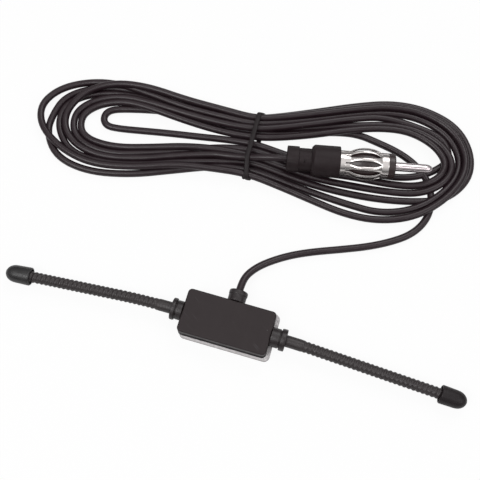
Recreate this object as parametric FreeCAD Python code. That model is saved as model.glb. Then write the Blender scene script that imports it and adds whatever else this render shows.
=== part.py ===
import FreeCAD, Part
import math
import os

from FreeCAD import Vector

# Car windshield radio antenna, millimetres.
# The origin lies on the glass, under the middle of the housing. X runs along the two whips,
# +Y points out of the cable gland, +Z is away from the glass.

# Housing: a tray and a lid that clamp the rubber collars between them
housing_length = 27.5
housing_width = 13.6
base_height = 2.95
lid_height = 2.25
housing_wall = 1.0
base_floor = 0.8
lid_top = 0.8
corner_radius = 1.3
cavity_radius = 0.65
lid_bevel = 0.5
lip_depth = 0.7
lip_thickness = 0.5
fit_gap = 0.05

# Foam tape and its release film under the housing
foam_thickness = 0.9
film_thickness = 0.2
foam_margin_x = 0.75
foam_margin_y = 0.65
foam_shift = 0.4
foam_corner_radius = 1.7
film_margin = 0.15

# Terminal board and the joints on it
board_end_gap = 2.2
board_side_gap = 0.3
board_thickness = 0.6
ledge_width = 1.6
solder_height = 1.1
whip_joint_radius = 1.2
lead_joint_radius = 0.65
joint_taper = 0.3
stripped_core_radius = 0.3
braid_radius = 0.45
core_offset = 0.6
braid_offset = 0.5
core_strip_length = 7.2
braid_strip_length = 4.9

# Whips: a spring wire core in a sleeve with a wound ridge, and a soft cap on the tip
whip_core_radius = 0.8
core_inside_reach = 6.4
sleeve_radius = 1.75
ridge_height = 0.12
ridge_pitch = 1.4
ridge_steps = 3
left_whip_reach = 69.5
right_whip_reach = 73.7
left_smooth_length = 3.4
right_smooth_length = 5.6
left_straight_length = 36.0
right_straight_length = 48.0
left_tip_sweep = 3.4
right_tip_sweep = 2.9
cap_thickness = 1.05
cap_length = 8.0
cap_end_wall = 2.6
cap_mouth_gap = 0.6
cap_mouth_depth = 0.7
cap_rim_chamfer = 0.25
floor_gap = 0.05

# Rubber collars and the cable gland, all gripped in the housing wall
collar_thickness = 1.15
collar_neck_length = 1.7
collar_groove_depth = 0.35
collar_groove_length = 0.5
collar_flange_rise = 0.45
collar_flange_length = 1.5
collar_edge = 0.35
collar_seat_depth = 2.4
gland_offset = 0.8
gland_thickness = 1.6
gland_neck_length = 1.8
gland_groove_depth = 0.08
gland_groove_length = 0.4
gland_flange_rise = 0.15
gland_flange_length = 1.4
gland_edge = 0.45
gland_seat_depth = 2.5
wall_grip = 0.3
inner_flange_length = 1.0
inner_flange_edge = 0.3

# Coaxial cable, its hank and the tie; bend_share is the part of the shorter run that a bend takes
cable_radius = 1.15
bend_share = 0.45
strand_gap = 0.05
hank_height = 4.7
hank_edge = 1.0
tie_width = 1.6
tie_thickness = 0.8
tie_half_span = 12.6
tie_slack = 2.1
tie_corner = 2.4
tie_gap = 0.1
tie_end_radius = 0.6
tie_end_length = 2.0
tie_end_height = 2.8
tie_end_spread = 0.75
tie_center = (-9.1, 58.7)
tie_lean = 5.6

# Radio plug, lying on the strands of the hank
plug_rear = (3.2, 55.15)
plug_heading = 11.65
ring_radius = 4.1
ring_length = 3.8
neck_radius = 3.65
neck_length = 3.95
spigot_radius = 2.9
spigot_gap = 2.2
window_size = 1.0
window_depth = 0.7
window_offset = 1.7
grip_radius = 5.0
grip_length = 8.9
grip_chamfer = 0.8
plug_edge = 0.25
shell_base_radius = 3.6
shell_front_radius = 3.7
leaf_bow = 1.4
shell_wall = 0.45
shell_tail = 2.6
shell_base_length = 3.2
leaf_length = 9.7
shell_front_length = 2.15
leaf_count = 10
slot_half_width = 0.75
slot_roll = 0.5
slit_width = 0.4
slit_length = 1.5
insulator_radius = 3.72
insulator_length = 2.15
insulator_stem_radius = 2.2
pin_radius = 1.4
pin_length = 12.0
pin_tip_length = 1.9
pin_stem_radius = 1.0
pin_stem_length = 10.0
seam_width = 0.3
seam_depth = 0.25
tail_seat_depth = 4.0
tail_straight = 3.4
nest_gap = 0.3

X = Vector(1, 0, 0)
Y = Vector(0, 1, 0)
Z = Vector(0, 0, 1)
origin = Vector(0, 0, 0)

tape_height = foam_thickness + film_thickness
parting = tape_height + base_height
axis_height = parting
floor_line = cable_radius + strand_gap


def rounded_plate(length, width, radius, bottom, height):
    """Plate with rounded upright edges, centred on the origin and standing on bottom."""
    half_x = length / 2
    half_y = width / 2
    slant = radius * (1 - math.cos(math.pi / 4))
    edges = []
    last = Vector(half_x - radius, -half_y, bottom)
    for side_x, side_y in ((1, -1), (1, 1), (-1, 1), (-1, -1)):
        ends = [
            Vector(side_x * (half_x - radius), side_y * half_y, bottom),
            Vector(side_x * half_x, side_y * (half_y - radius), bottom),
        ]
        if side_x == side_y:
            ends.reverse()
        middle = Vector(side_x * (half_x - slant), side_y * (half_y - slant), bottom)
        if edges:
            edges.append(Part.LineSegment(last, ends[0]).toShape())
        edges.append(Part.Arc(ends[0], middle, ends[1]).toShape())
        last = ends[1]
    edges.append(Part.LineSegment(last, Vector(half_x - radius, -half_y, bottom)).toShape())
    return Part.Face(Part.Wire(edges)).extrude(Z * height)


def top_edges(solid):
    return max(solid.Faces, key=lambda face: face.CenterOfMass.z).Edges


def turned(profile, start, heading):
    """Revolve a closed profile about the line from start along heading.

    A step of the profile is (distance, radius), reached by a line, or
    (distance, radius, distance, radius), an arc through the first pair to the second.
    """
    corner = Vector(profile[0][1], 0, profile[0][0])
    edges = []
    for step in profile[1:] + profile[:1]:
        target = Vector(step[-1], 0, step[-2])
        if len(step) == 4:
            edges.append(Part.Arc(corner, Vector(step[1], 0, step[0]), target).toShape())
        else:
            edges.append(Part.LineSegment(corner, target).toShape())
        corner = target
    solid = Part.Face(Part.Wire(edges)).revolve(origin, Z, 360)
    solid.Placement = FreeCAD.Placement(start, FreeCAD.Rotation(Z, heading))
    return solid


def dome(start, radius, length):
    """Profile step that closes a turned piece with a rounded end."""
    slant = math.sin(math.pi / 4)
    return (start + length * slant, radius * slant, start + length, 0)


def rod(radius, start, end):
    return Part.makeCylinder(radius, (end - start).Length, start, end - start)


def tube(wire, radius):
    """Sweep a round section along a wire of lines and tangent arcs."""
    first = wire.OrderedEdges[0]
    start = first.valueAt(first.FirstParameter)
    heading = first.tangentAt(first.FirstParameter)
    ring = Part.Wire(Part.makeCircle(radius, start, heading))
    return wire.makePipeShell([ring], True, True)


def cord_wire(points, label):
    """Straight runs joined by tangent arcs as large as the runs allow."""
    knots = [Vector(*point) for point in points]
    edges = []
    radii = []
    last = knots[0]
    for before, corner, after in zip(knots, knots[1:], knots[2:]):
        back = (before - corner).normalize()
        ahead = (after - corner).normalize()
        turn = math.pi - back.getAngle(ahead)
        shorter = min((before - corner).Length, (after - corner).Length)
        trim = bend_share * shorter
        radius = trim / math.tan(turn / 2)
        radii.append(radius)
        enter = corner + back * trim
        leave = corner + ahead * trim
        inward = (back + ahead).normalize()
        middle = corner + inward * (radius / math.cos(turn / 2) - radius)
        edges.append(Part.LineSegment(last, enter).toShape())
        edges.append(Part.Arc(enter, middle, leave).toShape())
        last = leave
    edges.append(Part.LineSegment(last, knots[-1]).toShape())
    print(label, "bend radii", [round(radius, 1) for radius in radii])
    return Part.Wire(edges)


def cord_tube(points, label):
    wire = cord_wire(points, label)
    solid = tube(wire, cable_radius)
    expected = math.pi * cable_radius ** 2 * wire.Length
    print(label, "volume ratio", round(solid.Volume / expected, 4), "length", round(wire.Length, 1))
    return solid


def save(name, shape):
    shape.exportStep(os.path.join("parts", name + ".step"))


os.makedirs("parts", exist_ok=True)


# Housing tray with ledges for the board, and the lid with a locating lip
inner_flange_radius = min(base_height - base_floor, lid_height - lid_top) - fit_gap
wall_hole_radius = inner_flange_radius - wall_grip
wall_holes = [
    rod(wall_hole_radius, Vector(-housing_length, 0, axis_height), Vector(housing_length, 0, axis_height)),
    rod(wall_hole_radius, Vector(gland_offset, 0, axis_height), Vector(gland_offset, housing_width, axis_height)),
]
cavity_length = housing_length - 2 * housing_wall
cavity_width = housing_width - 2 * housing_wall
board_length = cavity_length - 2 * (inner_flange_length + board_end_gap)
board_width = cavity_width - 2 * (inner_flange_length + board_side_gap)
board_top = axis_height - whip_core_radius - fit_gap

base_blank = rounded_plate(housing_length, housing_width, corner_radius, tape_height, base_height)
base_cavity = rounded_plate(cavity_length, cavity_width, cavity_radius, tape_height + base_floor, base_height)
ledge_height = board_top - board_thickness - tape_height - base_floor
ledges = [
    Part.makeBox(ledge_width, board_width, ledge_height,
                 Vector(side * (board_length - ledge_width) / 2 - ledge_width / 2, -board_width / 2,
                        tape_height + base_floor))
    for side in (-1, 1)
]
housing_base = base_blank.cut(base_cavity).fuse(ledges).cut(wall_holes).removeSplitter()

lid_blank = rounded_plate(housing_length, housing_width, corner_radius, parting, lid_height)
lid_blank = lid_blank.makeFillet(lid_bevel, top_edges(lid_blank))
lip_length = cavity_length - 2 * fit_gap
lip_width = cavity_width - 2 * fit_gap
lip = rounded_plate(lip_length, lip_width, cavity_radius, parting - lip_depth, lip_depth)
lid_cavity = rounded_plate(lip_length - 2 * lip_thickness, lip_width - 2 * lip_thickness, cavity_radius,
                           parting - lip_depth, lip_depth + lid_height - lid_top)
flange_room = inner_flange_radius + fit_gap
collar_room = [
    rod(flange_room, Vector(-cavity_length / 2, 0, axis_height), Vector(cavity_length / 2, 0, axis_height)),
    rod(flange_room, Vector(gland_offset, 0, axis_height), Vector(gland_offset, cavity_width / 2, axis_height)),
]
housing_lid = lid_blank.fuse(lip).cut([lid_cavity] + collar_room + wall_holes).removeSplitter()
save("housing_base", housing_base)
save("housing_lid", housing_lid)


# Foam tape, set a little to one side, and the release film on its glue
foam_length = housing_length + 2 * foam_margin_x
foam_width = housing_width + 2 * foam_margin_y
adhesive_pad = rounded_plate(foam_length, foam_width, foam_corner_radius, film_thickness, foam_thickness)
release_film = rounded_plate(foam_length + 2 * film_margin, foam_width + 2 * film_margin,
                             foam_corner_radius + film_margin, 0, film_thickness)
for name, layer in (("adhesive_pad", adhesive_pad), ("release_film", release_film)):
    layer.translate(X * foam_shift)
    save(name, layer)


# Collars and gland are turned alike: inner flange, wall groove, neck, groove and outer flange
def bush(bore, held_radius, seat_depth, neck, groove, flange, edge):
    """Profile of a rubber bush; distance 0 is the outer face of the wall, bore runs right through."""
    neck_thickness, neck_length = neck
    groove_depth, groove_length = groove
    flange_rise, flange_length = flange
    outer_radius = held_radius + neck_thickness
    flange_radius = outer_radius + flange_rise
    groove_end = neck_length + groove_length
    flange_end = groove_end + flange_length
    inner_end = -housing_wall - inner_flange_length
    return [
        (inner_end, bore),
        (inner_end, inner_flange_radius - inner_flange_edge),
        (inner_end + inner_flange_edge, inner_flange_radius),
        (-housing_wall, inner_flange_radius),
        (-housing_wall, wall_hole_radius),
        (0, wall_hole_radius),
        (0, outer_radius),
        (neck_length, outer_radius),
        (neck_length, outer_radius - groove_depth),
        (groove_end, outer_radius - groove_depth),
        (groove_end, flange_radius - edge),
        (groove_end + edge, flange_radius),
        (flange_end - edge, flange_radius),
        (flange_end, flange_radius - edge),
        (flange_end, held_radius + fit_gap),
        (flange_end - seat_depth, held_radius + fit_gap),
        (flange_end - seat_depth, bore),
    ]


collar_end = collar_neck_length + collar_groove_length + collar_flange_length
collar_profile = bush(whip_core_radius + fit_gap, sleeve_radius, collar_seat_depth,
                      (collar_thickness, collar_neck_length), (collar_groove_depth, collar_groove_length),
                      (collar_flange_rise, collar_flange_length), collar_edge)
for name, side in (("left", -1), ("right", 1)):
    wall_face = Vector(side * housing_length / 2, 0, axis_height)
    save(name + "_collar", turned(collar_profile, wall_face, X * side))

gland_end = gland_neck_length + gland_groove_length + gland_flange_length
gland_profile = bush(braid_offset + braid_radius + fit_gap, cable_radius, gland_seat_depth,
                     (gland_thickness, gland_neck_length), (gland_groove_depth, gland_groove_length),
                     (gland_flange_rise, gland_flange_length), gland_edge)
gland_wall = Vector(gland_offset, housing_width / 2, axis_height)
save("cable_gland", turned(gland_profile, gland_wall, Y))


# Whips: one plan for both, a bend that starts at the collar and then a straight stretch
cap_radius = sleeve_radius + cap_thickness
cap_mouth_radius = sleeve_radius + cap_mouth_gap


def whip_plan(side, reach, straight, sweep):
    """Return a function from distance past the collar to (point, heading), the length and the bend's length."""
    start = Vector(side * (housing_length / 2 + collar_end), 0, axis_height)
    along = X * side
    aside = Vector(0, -sweep, cap_radius + floor_gap - axis_height)
    deflection = aside.Length
    aside = aside.normalize()
    run = reach - housing_length / 2 - collar_end
    bend = run - straight
    turn = 2 * math.atan(deflection / (run + straight))
    radius = bend / math.sin(turn)
    bend_path = radius * turn
    length = bend_path + straight / math.cos(turn)

    def at(distance):
        angle = min(max(distance, 0.0), bend_path) / radius
        heading = along * math.cos(angle) + aside * math.sin(angle)
        point = start + along * (radius * math.sin(angle)) + aside * (radius * (1 - math.cos(angle)))
        past_bend = max(distance - bend_path, 0.0) + min(distance, 0.0)
        return point + heading * past_bend, heading

    return at, length, bend_path


def whip_wire(at, begin, bend_path, end):
    """Centre line from begin to end: a run through the collar, the bend, then straight if any is left."""
    root = at(0)[0]
    bend_end = min(bend_path, end)
    edges = [
        Part.LineSegment(at(begin)[0], root).toShape(),
        Part.Arc(root, at(bend_end / 2)[0], at(bend_end)[0]).toShape(),
    ]
    if end > bend_path:
        edges.append(Part.LineSegment(at(bend_path)[0], at(end)[0]).toShape())
    return Part.Wire(edges)


def sleeve_ring(at, distance, offset, roll):
    """Round section of a sleeve, its centre set off the whip's axis to raise a helical ridge."""
    point, heading = at(distance)
    side = heading.cross(Z).normalize()
    upward = side.cross(heading)
    center = point + side * (offset * math.cos(roll)) + upward * (offset * math.sin(roll))
    return Part.Wire(Part.makeCircle(sleeve_radius, center, heading))


def whip(side, reach, straight, sweep, smooth):
    at, length, bend_path = whip_plan(side, reach, straight, sweep)
    core_start = core_inside_reach - housing_length / 2 - collar_end
    cap_start = length - cap_length
    seat_end = length - cap_end_wall
    core = tube(whip_wire(at, core_start, bend_path, seat_end), whip_core_radius)

    ridge_turns = int((cap_start - smooth) / ridge_pitch)
    rings = [sleeve_ring(at, fit_gap - collar_seat_depth, 0, 0), sleeve_ring(at, smooth, 0, 0)]
    for step in range(1, ridge_turns * ridge_steps):
        distance = smooth + step * ridge_pitch / ridge_steps
        rings.append(sleeve_ring(at, distance, ridge_height, 2 * math.pi * step / ridge_steps))
    rings.append(sleeve_ring(at, smooth + ridge_turns * ridge_pitch, 0, 0))
    rings.append(sleeve_ring(at, seat_end, 0, 0))
    bore = tube(whip_wire(at, core_start, bend_path, length), whip_core_radius + fit_gap)
    sleeve = Part.makeLoft(rings, True, True).cut(bore)

    dome_start = cap_length - cap_radius
    cap_profile = [
        (0, cap_mouth_radius),
        (0, cap_radius - cap_rim_chamfer),
        (cap_rim_chamfer, cap_radius),
        (dome_start, cap_radius),
        dome(dome_start, cap_radius, cap_radius),
        (cap_length - cap_end_wall, 0),
        (cap_length - cap_end_wall, sleeve_radius + fit_gap),
        (cap_mouth_depth, sleeve_radius + fit_gap),
        (cap_mouth_depth, cap_mouth_radius),
    ]
    return core, sleeve, turned(cap_profile, *at(cap_start))


whips = (
    ("left", -1, left_whip_reach, left_straight_length, left_tip_sweep, left_smooth_length),
    ("right", 1, right_whip_reach, right_straight_length, right_tip_sweep, right_smooth_length),
)
for name, side, reach, straight, sweep, smooth in whips:
    core, sleeve, cap = whip(side, reach, straight, sweep, smooth)
    save(name + "_whip_core", core)
    save(name + "_whip_sleeve", sleeve)
    save(name + "_tip_cap", cap)


# Terminal board, the two stripped leads of the cable and the solder that joins all to it
terminal_board = Part.makeBox(board_length, board_width, board_thickness,
                              Vector(-board_length / 2, -board_width / 2, board_top - board_thickness))
strip_start = gland_wall + Y * (gland_end - gland_seat_depth)
core_root = strip_start + X * core_offset
core_tip = core_root - Y * core_strip_length
braid_root = strip_start - X * braid_offset
braid_tip = braid_root - Y * braid_strip_length
coax_core = rod(stripped_core_radius, core_root, core_tip)
coax_braid = rod(braid_radius, braid_root, braid_tip)
whip_ends = [
    rod(whip_core_radius, Vector(side * core_inside_reach, 0, axis_height),
        Vector(side * housing_length / 2, 0, axis_height))
    for side in (-1, 1)
]


def solder_joint(x, y, radius):
    joint = Part.makeCone(radius, radius - joint_taper, solder_height, Vector(x, y, board_top))
    return joint.cut(whip_ends + [coax_core, coax_braid])


joints = [solder_joint(side * (core_inside_reach + whip_joint_radius), 0, whip_joint_radius) for side in (-1, 1)]
joints += [solder_joint(tip.x, tip.y + lead_joint_radius, lead_joint_radius) for tip in (core_tip, braid_tip)]
save("terminal_board", terminal_board)
save("coax_core", coax_core)
save("coax_braid", coax_braid)
save("solder_joints", Part.makeCompound(joints))


# Radio plug, turned about its own axis; distances run from its rear end
plug_axis = Vector(math.cos(math.radians(plug_heading)), math.sin(math.radians(plug_heading)), 0)
leaf_bulge_radius = max(shell_base_radius, shell_front_radius) + leaf_bow
plug_start = Vector(*plug_rear, 2 * floor_line + leaf_bulge_radius + strand_gap)
neck_end = ring_length + neck_length
grip_end = neck_end + grip_length
shell_start = grip_end - shell_tail
leaf_start = grip_end + shell_base_length
leaf_end = leaf_start + leaf_length
shell_end = leaf_end + shell_front_length
insulator_end = shell_end + insulator_length
plug_end = insulator_end + pin_length
tail_bore = cable_radius + fit_gap

relief_profile = [
    (0, tail_bore),
    (0, ring_radius - plug_edge),
    (plug_edge, ring_radius),
    (ring_length - plug_edge, ring_radius),
    (ring_length, ring_radius - plug_edge),
    (ring_length, neck_radius - plug_edge),
    (ring_length + plug_edge, neck_radius),
    (neck_end, neck_radius),
    (neck_end, spigot_radius),
    (shell_start - spigot_gap, spigot_radius),
    (shell_start - spigot_gap, 0),
    (tail_seat_depth, 0),
    (tail_seat_depth, tail_bore),
]
window = Part.makeBox(window_size, window_size, 2 * window_depth,
                      Vector(-window_size / 2, -window_size / 2, -window_depth))
window_middle = plug_start + plug_axis * (ring_length + window_offset) + Z * neck_radius
window.Placement = FreeCAD.Placement(window_middle, FreeCAD.Rotation(Z, plug_heading))
save("plug_strain_relief", turned(relief_profile, plug_start, plug_axis).cut(window))

grip_profile = [
    (neck_end, spigot_radius + fit_gap),
    (neck_end, grip_radius - grip_chamfer),
    (neck_end + grip_chamfer, grip_radius),
    (grip_end - plug_edge, grip_radius),
    (grip_end, grip_radius - plug_edge),
    (grip_end, shell_base_radius + fit_gap),
    (shell_start, shell_base_radius + fit_gap),
    (shell_start, spigot_radius + fit_gap),
]
save("plug_grip", turned(grip_profile, plug_start, plug_axis))


# Spring shell: a thin tube whose middle is slit into bowed leaves
leaf_middle = (leaf_start + leaf_end) / 2
shell_profile = [
    (shell_start, shell_base_radius),
    (leaf_start, shell_base_radius),
    (leaf_middle, leaf_bulge_radius, leaf_end, shell_front_radius),
    (shell_end, shell_front_radius),
    (shell_end, shell_front_radius - shell_wall),
    (leaf_end, shell_front_radius - shell_wall),
    (leaf_middle, leaf_bulge_radius - shell_wall, leaf_start, shell_base_radius - shell_wall),
    (shell_start, shell_base_radius - shell_wall),
]
shell = turned(shell_profile, plug_start, plug_axis)
slot_tips = (Vector(0, 0, leaf_start), Vector(0, 0, leaf_end))
slot_sides = [
    Part.Arc(slot_tips[0], Vector(0, side * slot_half_width, leaf_middle), slot_tips[1]).toShape()
    for side in (-1, 1)
]
slot = Part.Face(Part.Wire(slot_sides)).extrude(X * (2 * leaf_bulge_radius))
slit = Part.makeBox(2 * leaf_bulge_radius, slit_width, 2 * slit_length,
                    Vector(0, -slit_width / 2, leaf_start - slit_length))
slot = slot.fuse(slit)
slot.Placement = shell.Placement
for leaf in range(leaf_count):
    turned_slot = slot.copy()
    turned_slot.rotate(plug_start, plug_axis, slot_roll + 360.0 * leaf / leaf_count)
    shell = shell.cut(turned_slot)
save("plug_shell", shell)

insulator_profile = [
    (shell_start, pin_stem_radius + fit_gap),
    (shell_start, shell_base_radius - shell_wall - fit_gap),
    (grip_end, shell_base_radius - shell_wall - fit_gap),
    (grip_end, insulator_stem_radius),
    (leaf_end, insulator_stem_radius),
    (leaf_end, shell_front_radius - shell_wall - fit_gap),
    (shell_end, shell_front_radius - shell_wall - fit_gap),
    (shell_end, insulator_radius),
    (insulator_end - plug_edge, insulator_radius),
    (insulator_end, insulator_radius - plug_edge),
    (insulator_end, pin_stem_radius + fit_gap),
]
save("plug_insulator", turned(insulator_profile, plug_start, plug_axis))

pin_profile = [
    (insulator_end - pin_stem_length, 0),
    (insulator_end - pin_stem_length, pin_stem_radius),
    (insulator_end, pin_stem_radius),
    (insulator_end, pin_radius),
    (plug_end - pin_tip_length, pin_radius),
    dome(plug_end - pin_tip_length, pin_radius, pin_tip_length),
]
seam = Part.makeBox(pin_length - pin_tip_length, seam_width, 2 * seam_depth,
                    Vector(insulator_end, -seam_width / 2, pin_radius - seam_depth))
seam.Placement = FreeCAD.Placement(plug_start, FreeCAD.Rotation(Z, plug_heading))
save("plug_pin", turned(pin_profile, plug_start, plug_axis).cut(seam))


# Hank of cable: one body with the outer shape of the turns, narrow at the tie and open in both ends
hank_outside = [
    (-80.2, 52.5), (-77.6, 60.2), (-70.5, 65.4), (-60, 68.5), (-46, 69.7), (-28, 70.0), (-11, 70.3),
    (3, 75.3), (20, 83.5), (37, 88.6), (49, 86.5), (57.5, 79.8), (60.8, 70), (58, 61.5), (51, 52),
    (41, 45.9), (29, 43.6), (12, 45.3), (-7, 47.2), (-24, 44.4), (-40, 38.9), (-56, 35.6), (-68, 37.4),
    (-76.2, 44),
]
hank_inside = [
    (-64, 52), (-61, 57.6), (-52, 61.6), (-38, 60.8), (-22, 59.9), (-9, 60.9), (4, 64.5), (22, 72.7),
    (37, 76.3), (46.5, 73.7), (51.7, 68), (48, 62), (37, 58.9), (22, 58), (8, 59.2), (-8, 59.5),
    (-22, 55.2), (-36, 51.3), (-50, 47.3), (-61, 47.2),
]


def closed_curve(points):
    curve = Part.BSplineCurve()
    curve.interpolate(Points=[Vector(x, y, 0) for x, y in points], PeriodicFlag=True)
    return Part.Wire(curve.toShape())


hank_face = Part.Face([closed_curve(hank_outside), closed_curve(hank_inside)], "Part::FaceMakerBullseye")
hank_ring = hank_face.extrude(Z * hank_height)
hank_ring = hank_ring.makeChamfer(hank_edge, top_edges(hank_ring))

# The cable from the gland to the upper bundle, which it reaches under the hank and across its right eye
lead_start = gland_wall + Y * gland_end
lead_route = [
    tuple(lead_start), (0.9, 14.1, 4.0), (1.9, 18.1, 3.4), (4.1, 22.0, 2.4), (7.7, 25.2, 1.6),
    (12.6, 27.7, floor_line), (19.3, 30.1, floor_line), (27.3, 32.7, floor_line), (35.0, 36.0, floor_line),
    (41.2, 39.8, floor_line), (45.7, 44.0, floor_line), (48.5, 48.7, floor_line), (49.6, 53.6, floor_line),
    (48.9, 58.6, floor_line), (46.3, 63.0, floor_line), (42.0, 66.6, floor_line), (36.4, 69.3, floor_line),
    (29.4, 71.3, floor_line), (22.4, 72.8, floor_line),
]
lead_pieces = cord_tube(lead_route, "lead").cut(hank_ring).Solids
lead_pieces.sort(key=lambda piece: piece.CenterOfMass.y)
gland_stub = rod(cable_radius, lead_start - Y * gland_seat_depth, lead_start)
save("cable_lead", lead_pieces[0].fuse(gland_stub).removeSplitter())

# One strand of the hank turns back early, inside the left eye
early_turn = [
    (-8.0, 58.6, floor_line), (-16.5, 58.0, floor_line), (-26.5, 56.6, floor_line), (-36.5, 55.1, floor_line),
    (-45.0, 53.5, floor_line), (-51.9, 52.4, floor_line), (-56.6, 52.1, floor_line), (-58.5, 54.0, floor_line),
    (-58.5, 56.6, floor_line), (-56.6, 58.5, floor_line), (-51.8, 60.3, floor_line), (-45.0, 62.3, floor_line),
    (-38.5, 63.5, floor_line),
]
hank = hank_ring.fuse([lead_pieces[1], cord_tube(early_turn, "early turn")])

# The cable comes off the hank under the tie and rises to the rear of the plug
tail_route = [
    tuple(plug_start), tuple(plug_start - plug_axis * tail_straight), (-4.3, 53.8, 6.75), (-8.6, 53.2, 5.1),
    (-13.0, 52.8, 3.8), (-17.6, 52.4, 3.0),
]
tail_stub = rod(cable_radius, plug_start, plug_start + plug_axis * tail_seat_depth)
save("cable_tail", cord_tube(tail_route, "tail").cut(hank).fuse(tail_stub).removeSplitter())

# The hank leaves room for the plug that lies on it and for the tie round its waist
plug_room = turned([
    (-nest_gap, 0),
    (-nest_gap, ring_radius + nest_gap),
    (neck_end - nest_gap, ring_radius + nest_gap),
    (neck_end - nest_gap, grip_radius + nest_gap),
    (plug_end + nest_gap, grip_radius + nest_gap),
    (plug_end + nest_gap, 0),
], plug_start, plug_axis)
tie_place = FreeCAD.Placement(Vector(*tie_center, 0), FreeCAD.Rotation(Z, tie_lean))
tie_rise = hank_height + tie_slack


def tie_loop(half_span, bottom, top, corner, width):
    """Rounded block across the hank, standing on its edge, width along the hank."""
    loop = rounded_plate(top - bottom, 2 * half_span, corner, -width / 2, width)
    loop.rotate(origin, Y, 90)
    loop.translate(Z * (top + bottom) / 2)
    loop.Placement = tie_place.multiply(loop.Placement)
    return loop


inner_half_span = tie_half_span - tie_thickness
inner_corner = tie_corner - tie_thickness
tie_outer = tie_loop(tie_half_span, strand_gap, tie_rise + tie_thickness, tie_corner, tie_width)
tie_inner = tie_loop(inner_half_span, strand_gap + tie_thickness, tie_rise, inner_corner, 2 * tie_width)
tie_groove = tie_loop(tie_half_span + tie_gap, 0, tie_rise + tie_thickness, tie_corner, tie_width + 2 * tie_gap)
tie_waist = tie_loop(inner_half_span - tie_gap, strand_gap + tie_thickness + tie_gap, tie_rise, inner_corner,
                     2 * tie_width)
tie_ends = []
for side in (-1, 1):
    root = Vector(side * tie_end_spread, tie_thickness / 2 - tie_half_span, tie_end_height)
    reach = Vector(0, -tie_end_length, tie_end_radius + strand_gap - tie_end_height)
    end_profile = [
        (0, 0),
        (0, tie_end_radius),
        (reach.Length, tie_end_radius),
        dome(reach.Length, tie_end_radius, tie_end_radius),
    ]
    tie_end = turned(end_profile, root, reach)
    tie_end.Placement = tie_place.multiply(tie_end.Placement)
    tie_ends.append(tie_end)
save("cable_hank", hank.cut([plug_room, tie_groove.cut(tie_waist)]))
save("hank_tie", tie_outer.fuse(tie_ends).cut(tie_inner))
print("plug end", plug_start + plug_axis * plug_end)
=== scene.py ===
import math

import bmesh
import bpy
import numpy as np
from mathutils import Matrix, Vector


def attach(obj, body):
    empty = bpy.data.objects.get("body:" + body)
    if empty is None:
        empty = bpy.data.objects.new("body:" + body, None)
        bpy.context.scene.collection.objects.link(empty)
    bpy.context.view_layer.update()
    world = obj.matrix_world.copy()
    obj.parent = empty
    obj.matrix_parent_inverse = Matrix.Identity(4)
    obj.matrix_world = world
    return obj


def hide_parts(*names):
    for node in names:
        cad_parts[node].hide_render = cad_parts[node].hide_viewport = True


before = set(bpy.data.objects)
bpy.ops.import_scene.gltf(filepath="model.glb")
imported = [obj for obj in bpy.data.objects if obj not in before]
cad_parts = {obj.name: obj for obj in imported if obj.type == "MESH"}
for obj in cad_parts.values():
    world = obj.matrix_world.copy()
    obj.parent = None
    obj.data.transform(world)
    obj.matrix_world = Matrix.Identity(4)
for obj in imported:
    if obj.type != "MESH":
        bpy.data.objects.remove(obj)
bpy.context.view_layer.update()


# Housing: a tray and a lid injection moulded in dark grey plastic, the lid with a fine satin spark finish; the tray's
# colour is painted much darker than the lid's, as painted shade on its walls.
# The lid is pressed into the tray over a locating lip. Its top edge is rounded over, and a light line low on its front
# and right walls is a painted highlight of that edge.
def shader_group(name, inputs, outputs):
    """Empty node group with named float or colour sockets; returns its tree, input node and output node."""
    tree = bpy.data.node_groups.new(name, "ShaderNodeTree")
    for label, value in inputs.items():
        kind = "NodeSocketColor" if isinstance(value, tuple) else "NodeSocketFloat"
        tree.interface.new_socket(label, in_out="INPUT", socket_type=kind).default_value = value
    for label, kind in outputs.items():
        tree.interface.new_socket(label, in_out="OUTPUT", socket_type=kind)
    return tree, tree.nodes.new("NodeGroupInput"), tree.nodes.new("NodeGroupOutput")


def set_or_link(tree, socket, value):
    """A plain number is set on the socket, another socket is linked to it."""
    if isinstance(value, (int, float)):
        socket.default_value = value
    else:
        tree.links.new(value, socket)


def noise(tree, coordinates, scale, detail=2.0):
    node = tree.nodes.new("ShaderNodeTexNoise")
    node.inputs["Detail"].default_value = detail
    tree.links.new(coordinates, node.inputs["Vector"])
    set_or_link(tree, node.inputs["Scale"], scale)
    return node.outputs["Fac"]


def remap(tree, value, low, high, to_low=0.0, to_high=1.0):
    node = tree.nodes.new("ShaderNodeMapRange")
    tree.links.new(value, node.inputs["Value"])
    for label, limit in (("From Min", low), ("From Max", high), ("To Min", to_low), ("To Max", to_high)):
        set_or_link(tree, node.inputs[label], limit)
    return node.outputs["Result"]


def math_node(tree, operation, first, second):
    """Result of a math node on two values, each a number or a socket."""
    node = tree.nodes.new("ShaderNodeMath")
    node.operation = operation
    set_or_link(tree, node.inputs[0], first)
    set_or_link(tree, node.inputs[1], second)
    return node.outputs["Value"]


def product(tree, first, second):
    return math_node(tree, "MULTIPLY", first, second)


def object_place(tree):
    """Place of a spot on its own piece, in metres."""
    return tree.nodes.new("ShaderNodeTexCoord").outputs["Object"]


def blend_colors(tree, share, first, second):
    """Mix of two colours; each is a socket or a plain colour."""
    node = tree.nodes.new("ShaderNodeMix")
    node.data_type = "RGBA"
    tree.links.new(share, node.inputs["Factor"])
    for label, color in (("A", first), ("B", second)):
        if isinstance(color, tuple):
            node.inputs[label].default_value = (*color, 1)
        else:
            tree.links.new(color, node.inputs[label])
    return node.outputs["Result"]


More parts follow.
